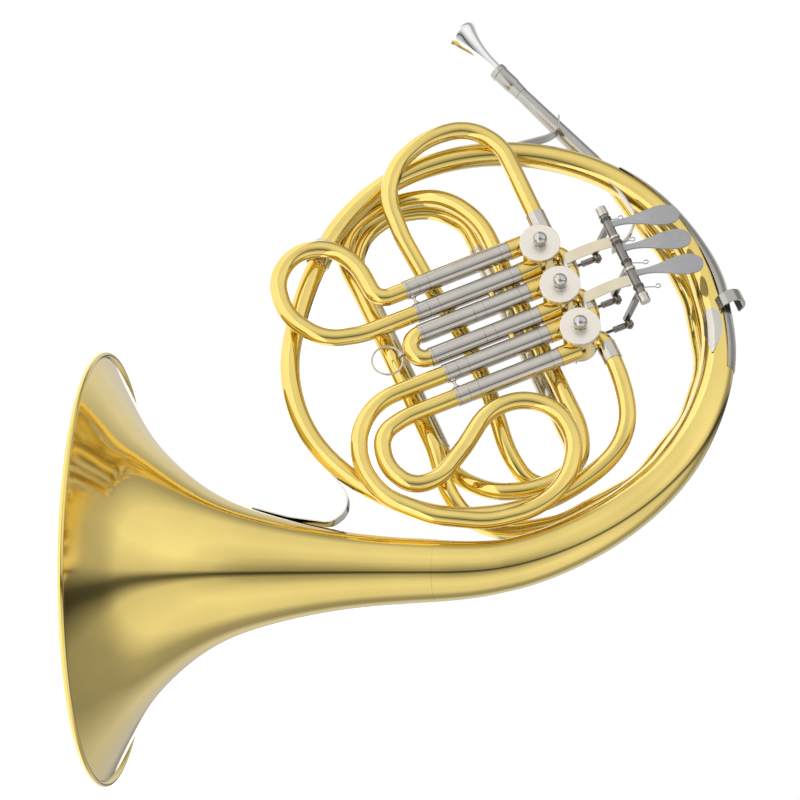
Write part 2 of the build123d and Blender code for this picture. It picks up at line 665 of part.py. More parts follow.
slide_plugs = [rod(along_slides(-64, row + side * leg_offset, slide_depth), sleeve_radius, 44)
               for row in valve_rows.values() for side in (1, -1)]
posts = []
for upper, lower in ((27.1, 11.1), (-8.7, -24.7)):
    short = post(place(-45, lower + 4, slide_depth), place(-45, upper - 4, slide_depth), 2.4)
    for plug in slide_plugs:
        short -= plug
    posts.append(short)
posts.append(post(place(-25, 1.2, 1.6), place(-8, 1.2, 1.6), 1.5) - coil_plug - casing_plugs)
posts.append(post(place(91, 14, -20), place(102, 8, 0)) - leadpipe_plug - branch_plug)
posts.append(post(place(-20, -144, -20), place(-18, -165, 4), 2.4) - leadpipe_plug - tail_plug)
posts.append(post(place(-74, 129, -12), place(-76, 137, 0)) - coil_plug - branch_plug)
keep("tube_posts", *[piece.solids().sort_by(SortBy.VOLUME)[-1] for piece in posts])

brace_route = [place(61.5, 142, -9.5), place(57, 132, -9.5), place(48, 130, -9.5), place(13, 134.5, -9.5)]
receiver_brace = strip(brace_route, 11.0, 1.2, wrap_normal) - branch_plug - tip_plug - leadpipe_plug
keep("receiver_brace", receiver_brace.solids().sort_by(SortBy.VOLUME)[-1])

brace_line = [(51, 104), (64, 88), (75, 64), (78, 42), (68, 29), (54, 22.7)]
lever_brace = strip([place(x, y, 4) for x, y in brace_line], 7.0, 1.2, wrap_normal)
lever_brace -= branch_plug
lever_brace -= saddles[1]
keep("lever_brace", lever_brace.solids().sort_by(SortBy.VOLUME)[-1])

with BuildPart() as flare_plug:
    with BuildSketch(Plane.XZ):
        with BuildLine():
            side_line = Spline(*flare_face(0.0), tangents=(mouth_slope, throat_slope))
            Polyline(side_line @ 0, (0, flare_outline[0][1]), (0, flare_height), side_line @ 1)
        make_face()
    revolve(axis=Axis.Z)
bell_line = [(-91.2, 143.2), (-70.0, 161.2), (-54.2, 174.4), (-40.6, 174.0), (-31.6, 163.8),
             (-36.0, 132.9), (-43.4, 106.0)]
bell_brace = strip([Vector(x, -8, z) for x, z in bell_line], 9.0, 1.2, Vector(0, 1, 0))
bell_brace = bell_brace - flare_plug.part - small_plug
keep("bell_brace", bell_brace.solids().sort_by(SortBy.VOLUME)[-1])

# ---------------------------------------------------------------- hand guard and finger hook
guard_tail = tapered(tail_points, [radius + 1.0 for radius in tail_radii], 0.97, Vector(0, 0, 1), tail_end)
guard_branch = tapered(branch_points, [radius + 1.0 for radius in branch_radii], 0.97, tail_end, branch_end)
with BuildPart() as guard_region:
    with BuildSketch(level(-9)):
        with BuildLine():
            Spline((88.5, -96), (104.5, -50), (108.5, -2), (101.5, 40), (82, 81))
            Polyline((82, 81), (150, 90), (150, -120), (88.5, -96))
        make_face()
    extrude(amount=40)
hand_guard = (guard_tail & guard_region.part) + (guard_branch & guard_region.part)
keep("hand_guard", hand_guard.solids().sort_by(SortBy.VOLUME)[-1])

hook_line = [(101, 10), (105, 17), (113, 19), (120, 12), (121, 2), (117, -4)]
finger_hook = strip([place(x, -49, z) for x, z in hook_line], 9.0, 1.6, to_first)
finger_hook = finger_hook - hand_guard - tail_plug - branch_plug
keep("finger_hook", finger_hook.solids().sort_by(SortBy.VOLUME)[-1])
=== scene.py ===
import json
import math
import bpy
import numpy as np
from mathutils import Matrix, Vector

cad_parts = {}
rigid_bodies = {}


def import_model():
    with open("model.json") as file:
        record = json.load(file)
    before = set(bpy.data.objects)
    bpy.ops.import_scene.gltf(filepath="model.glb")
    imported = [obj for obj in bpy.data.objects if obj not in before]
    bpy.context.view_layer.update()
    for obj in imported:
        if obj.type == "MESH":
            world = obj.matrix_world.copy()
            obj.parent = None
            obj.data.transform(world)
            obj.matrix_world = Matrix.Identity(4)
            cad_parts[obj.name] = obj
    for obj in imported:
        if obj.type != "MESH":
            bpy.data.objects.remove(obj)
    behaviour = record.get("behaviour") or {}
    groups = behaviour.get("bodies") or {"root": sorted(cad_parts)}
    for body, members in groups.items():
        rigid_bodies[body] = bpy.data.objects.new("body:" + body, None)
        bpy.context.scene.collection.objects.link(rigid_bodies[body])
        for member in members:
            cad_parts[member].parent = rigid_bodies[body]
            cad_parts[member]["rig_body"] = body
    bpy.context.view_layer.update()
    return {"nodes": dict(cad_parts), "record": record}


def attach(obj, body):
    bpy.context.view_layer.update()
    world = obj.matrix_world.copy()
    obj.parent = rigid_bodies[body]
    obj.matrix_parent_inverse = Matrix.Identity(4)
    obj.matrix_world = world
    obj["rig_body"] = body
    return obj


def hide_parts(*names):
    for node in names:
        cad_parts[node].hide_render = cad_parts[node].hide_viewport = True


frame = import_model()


nodes = frame["nodes"]

# ------------------------------------------------------------------ the wrap plane, as in the CAD (mm)
lean, turn = math.radians(9.1), math.radians(27.5)
up_bell = np.array([0.0, math.sin(lean), math.cos(lean)])
normal = np.array([0.0, -math.cos(lean), math.sin(lean)])
to_levers = np.array([-1.0, 0, 0]) * math.sin(turn) + up_bell * math.cos(turn)
to_first = np.array([-1.0, 0, 0]) * math.cos(turn) - up_bell * math.sin(turn)
middle = np.array([0, 0, 240.0]) + to_levers * 163.7 + to_first * 155.6


def place(x, y, z=0.0):
    return middle + to_levers * x + to_first * y + normal * z


def unit(v):
    return v / np.linalg.norm(v)


# dimensions that several pieces share (mm)
R, WALL = 6.3, 0.5                          # round tubing: outside radius and wall
FRONT, BACK, DEPTH = -3.0, -27.5, 17.0      # heights of the coil's two turns and of the valve slides
BELL_WALL, RIM_WIRE, RIM_RADIUS = 1.2, 2.2, 152.8
SLEEVE, SLEEVE_BORE, TUBE_BORE = 7.0, 6.35, 5.8
LEG_OFFSET = 9.9                            # each slide leg from its valve's middle
HINGE_X, HINGE_Z = 52.4, 24.0               # axis of the lever hinge
FLARE_TOP = np.array([0.0, 0.0, 240.0])     # where the bell flare meets its tail


# ------------------------------------------------------------------ paths
def bent(points, share=0.48, widest=60.0, step=1.1):
    """Straight runs joined by arcs, sampled."""
    points = [np.array(p, float) for p in points]
    out = [points[0]]
    for before, here, after in zip(points, points[1:], points[2:]):
        first, second = here - before, after - here
        half = math.acos(np.clip(np.dot(unit(first), unit(second)), -1, 1)) / 2
        reach = min(share * min(np.linalg.norm(first), np.linalg.norm(second)), widest * math.tan(half))
        radius = reach / math.tan(half)
        enter = here - unit(first) * reach
        inward = unit(unit(second) - unit(first))
        centre = here + inward * radius / math.cos(half)
        arm = enter - centre
        side = unit(first)
        count = max(3, int(2 * half * radius / step))
        for i in range(count + 1):
            a = 2 * half * i / count
            out.append(centre + arm * math.cos(a) + side * radius * math.sin(a))
    out.append(points[-1])
    kept = [out[0]]
    for p in out[1:]:
        if np.linalg.norm(p - kept[-1]) > 0.05:
            kept.append(p)
    return np.array(kept)


def spline(points, start, end, radii, step=2.0):
    """A clamped cubic through points, with radii that follow it."""
    pts = np.array(points, float)
    t = np.concatenate([[0], np.cumsum(np.linalg.norm(np.diff(pts, axis=0), axis=1))])
    h = np.diff(t)
    n = len(pts)
    a = np.zeros((n, n))
    b = np.zeros((n, pts.shape[1]))
    a[0, 0] = a[-1, -1] = 1
    b[0], b[-1] = unit(np.array(start, float)), unit(np.array(end, float))
    for i in range(1, n - 1):
        a[i, i - 1], a[i, i], a[i, i + 1] = h[i], 2 * (h[i] + h[i - 1]), h[i - 1]
        b[i] = 3 * (h[i] * (pts[i] - pts[i - 1]) / h[i - 1] + h[i - 1] * (pts[i + 1] - pts[i]) / h[i])
    slope = np.linalg.solve(a, b)
    out, size = [], []
    for i in range(n - 1):
        count = max(4, int(h[i] / step))
        for k in range(count + (i == n - 2)):
            u = k / count
            out.append((2 * u**3 - 3 * u**2 + 1) * pts[i] + (u**3 - 2 * u**2 + u) * h[i] * slope[i]
                       + (-2 * u**3 + 3 * u**2) * pts[i + 1] + (u**3 - u**2) * h[i] * slope[i + 1])
            size.append(t[i] + u * h[i])
    return np.array(out), np.interp(size, t, radii)


# ------------------------------------------------------------------ meshes
def shaded(name, verts, faces, material, angle=38.0):
    mesh = bpy.data.meshes.new(name)
    mesh.from_pydata([tuple(v) for v in np.asarray(verts) / 1000.0], [], faces)
    mesh.update()
    mesh.shade_smooth()
    mesh.set_sharp_from_angle(angle=math.radians(angle))
    mesh.materials.append(material)
    obj = bpy.data.objects.new(name, mesh)
    bpy.context.scene.collection.objects.link(obj)
    return obj


def frames_along(path, hint=None):
    tangent = np.gradient(path, axis=0)
    tangent[0], tangent[-1] = path[1] - path[0], path[-1] - path[-2]
    tangent /= np.linalg.norm(tangent, axis=1)[:, None]
    side = np.cross(tangent[0], hint if hint is not None else normal)
    if np.linalg.norm(side) < 1e-3:
        side = np.cross(tangent[0], to_levers)
    side = unit(side)
    sides = [side]
    for tan in tangent[1:]:
        side = unit(side - np.dot(side, tan) * tan)
        sides.append(side)
    sides = np.array(sides)
    return tangent, sides, np.cross(tangent, sides)


def ring_faces(rings, around, loop=False):
    """Quads between neighbouring rings of points; a loop also joins the last ring to the first."""
    faces = []
    last = rings if loop else rings - 1
    for i in range(last):
        for k in range(around):
            a, b = i * around + k, i * around + (k + 1) % around
            c, d = ((i + 1) % rings) * around + (k + 1) % around, ((i + 1) % rings) * around + k
            faces.append((a, b, c, d))
    return faces


def tube(name, path, radius, wall, material, around=48):
    """A round tube with real walls along a sampled path."""
    radius = np.broadcast_to(np.asarray(radius, float), (len(path),))
    tangent, side, over = frames_along(path)
    angle = np.linspace(0, 2 * math.pi, around, endpoint=False)
    ring = np.cos(angle)[None, :, None] * side[:, None] + np.sin(angle)[None, :, None] * over[:, None]
    outer = path[:, None] + ring * radius[:, None, None]
    if wall:
        inner = path[:, None] + ring * (radius - wall)[:, None, None]
        verts = np.concatenate([outer, inner[::-1]]).reshape(-1, 3)
        faces = ring_faces(2 * len(path), around, loop=True)
    else:
        verts = outer.reshape(-1, 3)
        faces = ring_faces(len(path), around)
        faces += [tuple(range(around))[::-1], tuple(range((len(path) - 1) * around, len(path) * around))]
    return shaded(name, verts, faces, material)


def turned(name, origin, axis, outline, material, around=64, closed=True, angle=32.0):
    """A turned piece: outline is (distance along the axis, radius), walked round a closed section."""
    axis = unit(np.array(axis, float))
    side = np.cross(axis, normal)
    if np.linalg.norm(side) < 1e-3:
        side = np.cross(axis, to_levers)
    side = unit(side)
    over = np.cross(axis, side)
    turns = np.linspace(0, 2 * math.pi, around, endpoint=False)
    ring = np.cos(turns)[:, None] * side + np.sin(turns)[:, None] * over
    verts = [origin + axis * s + ring * max(r, 1e-4) for s, r in outline]
    faces = ring_faces(len(outline), around, loop=closed)
    if not closed:
        faces += [tuple(range(around))[::-1],
                  tuple(range((len(outline) - 1) * around, len(outline) * around))]
    return shaded(name, np.array(verts).reshape(-1, 3), faces, material, angle)


def joined(name, objects):
    """Merge several meshes into one piece."""
    bpy.ops.object.select_all(action="DESELECT")
    for obj in objects:
        obj.select_set(True)
    bpy.context.view_layer.objects.active = objects[0]
    bpy.ops.object.join()
    objects[0].name = name
    return objects[0]


def stands_for(obj, node):
    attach(obj, node_body[node])
    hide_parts(node)
    return obj


node_body = {name: obj["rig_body"] for name, obj in nodes.items()}
slots = {row["node"]: row["material_slot"] for row in frame["record"]["subparts"]}


# ------------------------------------------------------------------ materials
def metal(name, base, rough, coat=0.0, tint=0.06, bump=0.02, scale=60.0, spread=0.05, metallic=1.0,
          streak=None):
    """A metal whose colour, gloss and surface wander a little, as handled metal does."""
    mat = bpy.data.materials.new(name)
    mat.use_nodes = True
    tree = mat.node_tree
    shader = tree.nodes["Principled BSDF"]
    shader.inputs["Metallic"].default_value = metallic
    if coat:
        shader.inputs["Coat Weight"].default_value = coat
        shader.inputs["Coat Roughness"].default_value = 0.03
        shader.inputs["Coat IOR"].default_value = 1.5
    coords = tree.nodes.new("ShaderNodeTexCoord")
    mapping = tree.nodes.new("ShaderNodeMapping")
    if streak:
        mapping.inputs["Scale"].default_value = streak
    tree.links.new(coords.outputs["Object"], mapping.inputs["Vector"])
    noise = tree.nodes.new("ShaderNodeTexNoise")
    noise.inputs["Scale"].default_value = scale
    noise.inputs["Detail"].default_value = 4.0
    tree.links.new(mapping.outputs["Vector"], noise.inputs["Vector"])
    ramp = tree.nodes.new("ShaderNodeValToRGB")
    low = [max(0, c * (1 - tint)) for c in base]
    high = [min(1, c * (1 + tint * 0.5)) for c in base]
    ramp.color_ramp.elements[0].color = (*low, 1)
    ramp.color_ramp.elements[1].color = (*high, 1)
    ramp.color_ramp.elements[0].position = 0.3
    ramp.color_ramp.elements[1].position = 0.7
    tree.links.new(noise.outputs["Fac"], ramp.inputs["Fac"])
    tree.links.new(ramp.outputs["Color"], shader.inputs["Base Color"])
    wander = tree.nodes.new("ShaderNodeTexNoise")
    wander.inputs["Scale"].default_value = scale * 0.35
    wander.inputs["Detail"].default_value = 3.0
    tree.links.new(mapping.outputs["Vector"], wander.inputs["Vector"])
    ranged = tree.nodes.new("ShaderNodeMapRange")
    ranged.inputs["To Min"].default_value = max(0.01, rough - spread * 0.5)
    ranged.inputs["To Max"].default_value = rough + spread * 0.5
    tree.links.new(wander.outputs["Fac"], ranged.inputs["Value"])
    tree.links.new(ranged.outputs["Result"], shader.inputs["Roughness"])
    if bump:
        bumped = tree.nodes.new("ShaderNodeBump")
        bumped.inputs["Strength"].default_value = bump
        bumped.inputs["Distance"].default_value = 0.0004
        tree.links.new(wander.outputs["Fac"], bumped.inputs["Height"])
        tree.links.new(bumped.outputs["Normal"], shader.inputs["Normal"])
    return mat


MATS = {
    "bell_brass": metal("bell_brass", (0.83, 0.64, 0.195), 0.085, coat=0.5, bump=0.03, scale=22),
    "lacquered_brass": metal("lacquered_brass", (0.82, 0.625, 0.18), 0.07, coat=0.5, bump=0.02, scale=40),
    "rotor_brass": metal("rotor_brass", (0.70, 0.50, 0.20), 0.25, scale=80),
    "nickel_silver": metal("nickel_silver", (0.60, 0.565, 0.51), 0.10, tint=0.05, scale=90),
    "lever_steel": metal("lever_steel", (0.42, 0.42, 0.43), 0.50, tint=0.05, bump=0.06, scale=300),
    "knob_plate": metal("knob_plate", (0.55, 0.54, 0.53), 0.12, tint=0.05, scale=200),
    # nickel_dull is the nickel darkened as painted shade, standing in for the darker reflections of the
    # leadpipe's nickel parts; it is also a little rougher
    "nickel_dull": metal("nickel_dull", (0.46, 0.44, 0.41), 0.16, tint=0.06, scale=110),
    "dark_steel": metal("dark_steel", (0.26, 0.25, 0.235), 0.20, tint=0.12, scale=120),
    "bridge_nickel": metal("bridge_nickel", (0.76, 0.68, 0.50), 0.16, tint=0.05, scale=90),
    "cap_plate": metal("cap_plate", (0.86, 0.80, 0.71), 0.36, tint=0.03, bump=0.04, scale=500),
    "silver_plate": metal("silver_plate", (0.86, 0.86, 0.85), 0.07, tint=0.02, scale=60),
    "stop_rubber": metal("stop_rubber", (0.02, 0.02, 0.02), 0.7, tint=0.3, bump=0.2, scale=400, metallic=0.0),
}
for name, obj in nodes.items():
    obj.data.materials.clear()
    obj.data.materials.append(MATS[slots[name]])

# ------------------------------------------------------------------ bell
flare_outline = [(152.6, 1.2), (138.0, 8.2), (118.0, 19.0), (100.3, 30.0), (76.4, 51.6),
                 (53.0, 84.1), (40.5, 116.6), (31.8, 152.0), (26.4, 186.0), (22.0, 240.0)]
line, _ = spline([(r, z) for r, z in flare_outline], (-2.3, 1.0), (-0.065, 1.0), np.zeros(10), 1.6)
outer = [(z, r) for r, z in line]
inner = [(z, r - BELL_WALL) for r, z in line][::-1]
bell = turned("bell_wall", np.zeros(3), (0, 0, 1), outer + inner, MATS["bell_brass"], around=256)
stands_for(bell, "bell_flare")
bead = []
for k in range(40):
    a = 2 * math.pi * k / 40
    bead.append((max(0.0, 1.65 + RIM_WIRE * math.sin(a)), RIM_RADIUS + RIM_WIRE * math.cos(a)))
rim = turned("rim_wire", np.zeros(3), (0, 0, 1), bead, MATS["bell_brass"], around=256, angle=50)
stands_for(rim, "bell_rim")

# ------------------------------------------------------------------ tapers
tail_end = to_levers * 0.17 + to_first
branch_end = to_levers * -0.72 - to_first * 0.69
tapers = [
    ("bell_tail", "bell_brass", BELL_WALL, np.array([0, 0, 1.0]), tail_end,
     [FLARE_TOP, place(-121, -172, 4), place(-72, -176, 5), place(-23, -168, 4),
      place(24, -148, 3), place(57, -122, 2), place(84, -88, 1), place(100, -45, 0)],
     [22.0, 18.7, 17.4, 16.3, 14.9, 13.4, 12.2, 11.4]),
    ("first_branch", "lacquered_brass", 0.55, tail_end, branch_end,
     [place(100, -45), place(104, 0), place(94, 43), place(73, 80), place(45, 107), place(8, 128),
      place(-33, 138.5), place(-77, 137), place(-113, 124), place(-141, 104)],
     [11.4, 10.7, 10.0, 9.5, 9.1, 8.7, 8.3, 7.9, 7.5, 7.2]),
    ("valve_branch", "lacquered_brass", 0.5, branch_end, to_first,
     [place(-141, 104), place(-158, 87), place(-177, 64), place(-196, 33), place(-204, 5),
      place(-205, -20), place(-195, -57), place(-175, -88), place(-155, -109), place(-132, -124, 1),
      place(-104, -134, 2), place(-70, -138, 3), place(-36, -133, 4), place(-9, -122, 7.5),
      place(6, -105, 12), place(12, -85, 15), place(14, -62, 17)],
     [7.2, 7.2, 7.2, 7.1, 7.1, 7.1, 7.0, 6.9, 6.9, 6.8, 6.7, 6.6, 6.5, 6.4, 6.3, 6.3, 6.3]),
]
for node, slot_name, wall, start, end, points, radii in tapers:
    path, sizes = spline(points, start, end, radii, 1.8)
    stands_for(tube(node + "_wall", path, sizes, wall, MATS[slot_name], 64), node)

# ------------------------------------------------------------------ round tubes
pipe_start, pipe_end = place(24, 237, -18), place(72.4, 103.1, -20.3)
heading = unit(pipe_end - pipe_start)
routes = {
    "leadpipe": [pipe_end, pipe_end + heading * 15] + [place(*p) for p in [
        (83, 55, -20), (91, 16, -20), (92, -26, -20), (79, -78, -20), (50, -112, -20), (0, -141, -20),
        (-64, -149, -20), (-104, -140, -20), (-124, -122, -17), (-131, -98, -9),
        (-126.5, -68, FRONT), (-126.5, -30, FRONT)]],
    "outer_coil": [place(*p) for p in [
        (-126.5, -30, FRONT), (-126.5, 62, FRONT), (-127, 100, -8.5), (-109, 122.5, -14.2),
        (-73, 128, -12), (-41, 115, -5), (-25, 85, FRONT), (-25, -94, FRONT), (-34, -116, -3.5),
        (-56, -124, -4.5), (-80, -122, -5), (-101, -113, -7), (-114, -96, -14), (-119, -80, -23),
        (-118.5, -66, BACK), (-118.5, -57, BACK)]],
    "inlet_loop": [place(*p) for p in [
        (-30.5, -57, BACK), (-30.5, -96, BACK), (-39, -114, -26.5), (-57, -120, -24),
        (-74, -111, -17), (-79, -88, -9), (-74, -45, -3), (-72, 0, -3), (-79, 45, -1), (-84, 90, 9),
        (-83, 121, 15), (-67, 142, DEPTH), (-38, 153, DEPTH), (-8, 149, DEPTH), (9, 127, DEPTH),
        (9, 48.5, DEPTH)]],
    "tuning_slide_bow": [place(x, y, BACK) for x, y in [
        (-118.5, 76), (-118.5, 99), (-103, 118), (-77, 126), (-47, 118), (-30.5, 97), (-30.5, 76)]],
    "slide_1_bow": [place(x, y, DEPTH) for x, y in [
        (-101, 46.9), (-122, 46.9), (-124, 80), (-137, 100), (-161, 106), (-182, 92), (-187, 62),
        (-169, 34), (-142, 27.1), (-101, 27.1)]],
    "slide_2_bow": [place(-105 - LEG_OFFSET * math.sin(a), 1.2 + LEG_OFFSET * math.cos(a), DEPTH)
                    for a in np.linspace(0, math.pi, 25)],
    "slide_3_bow": [place(x, y, DEPTH) for x, y in [
        (-101, -24.7), (-152, -24.7), (-174, -40), (-184, -66), (-179, -95), (-152, -123),
        (-118, -142), (-84, -147), (-54, -136), (-35, -109), (-38, -80), (-58, -63), (-85, -63),
        (-110, -82), (-136, -98), (-157, -96), (-168, -74), (-161, -50), (-140, -44.5), (-101, -44.5)]],
}
for node, points in routes.items():
    path = np.array(points) if node == "slide_2_bow" else bent(points)
    made = tube(node + "_wall", path, R, WALL, MATS["lacquered_brass"], 48)
    stands_for(made, node)


# ------------------------------------------------------------------ nickel sleeves and ferrules
def sleeve(name, start, end, radius, bore, bead=0.0, rings=()):
    """A straight drawn sleeve with softly rounded ends and fine turned joint lines."""
    start, end = np.array(start), np.array(end)
    length = np.linalg.norm(end - start)
    outline = [(0, bore), (0, radius - 0.25), (0.25, radius)]
    for at in sorted(rings):
        outline += [(at - 0.22, radius), (at - 0.08, radius - 0.32), (at + 0.08, radius - 0.32),
                    (at + 0.22, radius)]
    outline += [(length - 0.25, radius), (length, radius - 0.25), (length, bore)]
    return turned(name, start, end - start, outline, MATS["nickel_silver"], 56)


rows = {1: 37.0, 2: 1.2, 3: -34.6}
joint_x, bow_x = {1: -91.0, 2: -63.0, 3: -91.0}, {1: -101.0, 2: -105.0, 3: -101.0}
knuckle_x = -20
for number, row in rows.items():
    outer_pair, moving = [], []
    for k, leg in enumerate((row + LEG_OFFSET, row - LEG_OFFSET)):
        jx, bx = joint_x[number], bow_x[number]
        mouth, ferrule = place(jx, leg, DEPTH), place(bx, leg, DEPTH)
        outer_pair.append(sleeve(f"s{number}{k}", mouth, place(knuckle_x, leg, DEPTH), SLEEVE, SLEEVE_BORE,
                                 rings=(8.0, knuckle_x - jx - 7.0)))
        moving.append(sleeve(f"f{number}{k}", ferrule, mouth, SLEEVE, TUBE_BORE, rings=(2.2,)))
        moving.append(sleeve(f"l{number}{k}", mouth, place(-34, leg, DEPTH), R, TUBE_BORE))
    if number != 2:
        gap = 2 * LEG_OFFSET - 2 * SLEEVE
        moving.append(turned(f"p{number}", place(bow_x[number] + 4, row - gap / 2, DEPTH), to_first,
                             [(-0.3, 0), (-0.3, 2.4), (0.7, 2.2), (1.3, 1.2), (gap / 2, 1.05),
                              (gap - 1.3, 1.2), (gap - 0.7, 2.2), (gap + 0.3, 2.4), (gap + 0.3, 0)],
                             MATS["nickel_silver"], 32))
    for label, pieces, node in (("sleeves", outer_pair, "outer_tubes"), ("ferrules", moving, "legs")):
        stands_for(joined(f"slide_{number}_{label}", pieces), f"slide_{number}_{node}")
fixed, moving = [], []
for k, x in enumerate((-118.5, -30.5)):
    low, inner_end, joint, top = (place(x, y, BACK) for y in (-60, 8, 66, 76))
    fixed.append(sleeve(f"t{k}", low, joint, SLEEVE, SLEEVE_BORE, rings=(6.0, 119.0)))
    moving.append(sleeve(f"u{k}", joint, top, SLEEVE, TUBE_BORE, rings=(7.5,)))
    moving.append(sleeve(f"v{k}", inner_end, joint, R, TUBE_BORE))
stands_for(joined("tuning_sleeves", fixed), "tuning_slide_sleeves")
stands_for(joined("tuning_ferrules", moving), "tuning_slide_legs")

# ------------------------------------------------------------------ valve caps
caps, knob = [], 5.2
for number, row in rows.items():
    base = place(0, row, 0)
    disc = [(28.4, 13.02), (28.4, 14.3), (28.7, 14.6), (32.4, 14.6), (32.75, 14.5), (32.95, 14.25),
            (33.0, 13.95), (33.0, 13.7), (33.0, 13.0), (33.0, 9.0), (33.0, 5.6), (33.0, 5.0),
            (33.0, 0.001), (31.2, 0.001), (31.2, 13.0)]
    caps.append(turned(f"cap{number}", base, normal, disc, MATS["cap_plate"], 128, angle=20))
    neck = [(33.02, 0.0), (33.02, 4.6), (33.4, 4.8), (33.7, 4.6), (33.8, 3.0), (34.6, 2.8)]
    ball = [(39.0 - knob * math.cos(a), max(1e-4, knob * math.sin(a)))
            for a in np.linspace(0.56, math.pi, 30)]
    caps.append(turned(f"knob{number}", base, normal, neck + ball, MATS["knob_plate"], 64, closed=False,
                       angle=50))
stands_for(joined("cap_discs", caps), "valve_caps")

# ------------------------------------------------------------------ mouthpiece; its receiver is a softened CAD part further down
cup = [(0.6, 8.6), (0.15, 9.6), (0.0, 11.0), (0.3, 12.0), (1.2, 12.5), (2.4, 12.6), (3.4, 12.4),
       (4.2, 12.1), (6.5, 10.9), (10.0, 9.4), (14.0, 8.0), (19.0, 6.6), (24.0, 5.6), (30.0, 4.9),
       (36.0, 4.65), (40.0, 4.6), (52.0, 4.25), (64.0, 3.9), (64.0, 2.9), (45.0, 2.4), (30.0, 2.0),
       (22.0, 3.2), (16.0, 4.7), (10.0, 6.5), (5.0, 7.8)]
stands_for(turned("mouthpiece_cup", pipe_start, heading, cup, MATS["silver_plate"], 96, angle=40),
           "mouthpiece")

# ------------------------------------------------------------------ ball links
lever_x, stud_x, link_z = 42.4, 6.01, -14.0
link_rows = {1: 29.7, 2: -6.1, 3: -27.3}
for number, row in link_rows.items():
    eye = [(-1.5, 2.9), (-1.5, 4.1), (-1.1, 4.5), (1.1, 4.5), (1.5, 4.1), (1.5, 2.9)]
    parts = [turned("eye", place(stud_x, row, link_z), normal, eye, MATS["dark_steel"], 40)]
    rod = [(0.0, 0.0), (0.0, 1.25)]
    for k in range(26):
        rod += [(0.6 + 0.75 * k, 1.3), (0.6 + 0.75 * k + 0.37, 1.05)]
    rod += [(20.6, 1.3), (20.6, 2.0), (21.0, 2.3), (23.0, 2.3), (23.2, 2.05), (23.6, 2.05), (23.8, 2.3),
            (29.2, 2.3), (29.6, 2.0), (29.6, 1.6), (31.0, 1.6), (31.0, 0.0)]
    parts.append(turned("rod", place(stud_x + 3.6, row, link_z), to_levers, rod, MATS["dark_steel"], 32))
    socket = [(-2.5, 1.56), (-2.5, 2.5), (-1.9, 3.1), (-1.0, 3.35), (1.0, 3.35), (1.9, 3.1), (2.5, 2.5),
              (2.5, 1.56)]
    parts.append(turned("socket", place(lever_x, row, link_z), to_first, socket, MATS["dark_steel"], 40))
    stands_for(joined(f"ball_link_{number}", parts), f"link_{number}")

# ------------------------------------------------------------------ lever springs: bent wires with an eye
wires = []
for base_row, x, row in ((37.3, 62.5, 35.4), (17.0, 63.5, 16.3), (0.8, 64.9, -3.9), (-20.5, 65.3, -24.6)):
    path = []
    for k in range(64):
        a = 2 * math.pi * k / 22
        path.append(place(HINGE_X - 3.85 * math.cos(a), base_row + 0.042 * k, HINGE_Z + 3.85 * math.sin(a)))
    last = path[-1]
    end = place(x - 1.7, row, 25.5)
    for k in range(1, 12):
        u = k / 12
        path.append(last * (1 - u) + end * u + normal * 0.6 * math.sin(math.pi * u))
    for k in range(19):
        a = math.pi + 2 * math.pi * k / 20
        path.append(place(x + 1.7 * math.cos(a), row + 1.4 * math.sin(a), 25.5 + 0.03 * k))
    wires.append(tube("wire", np.array(path), 0.33, 0, MATS["dark_steel"], 10))
stands_for(joined("spring_wires", wires), "lever_springs")


# ------------------------------------------------------------------ small parts with softened edges
def softened(node, width=0.2, finish_and_shade=None):
    """A copy of a CAD part with rounded edges and smooth sides."""
    source = nodes[node]
    copy = bpy.data.objects.new(node + "_finish", source.data.copy())
    bpy.context.scene.collection.objects.link(copy)
    bpy.context.view_layer.objects.active = copy
    bpy.ops.object.select_all(action="DESELECT")
    copy.select_set(True)
    bpy.ops.object.mode_set(mode="EDIT")
    bpy.ops.mesh.select_all(action="SELECT")
    bpy.ops.mesh.remove_doubles(threshold=2e-6)
    bpy.ops.object.mode_set(mode="OBJECT")
    bpy.ops.mesh.customdata_custom_splitnormals_clear()
    copy.data.shade_smooth()
    bevel = copy.modifiers.new("edge", "BEVEL")
    bevel.width, bevel.segments, bevel.limit_method = width / 1000, 2, "ANGLE"
    bevel.angle_limit, bevel.harden_normals = math.radians(38), True
    bevel.use_clamp_overlap = True
    copy.data.set_sharp_from_angle(angle=math.radians(38))
    copy.data.materials.clear()
    # a darker nickel picked here, nickel_dull, is painted shade
    copy.data.materials.append(MATS[finish_and_shade or slots[node]])
    return stands_for(copy, node)


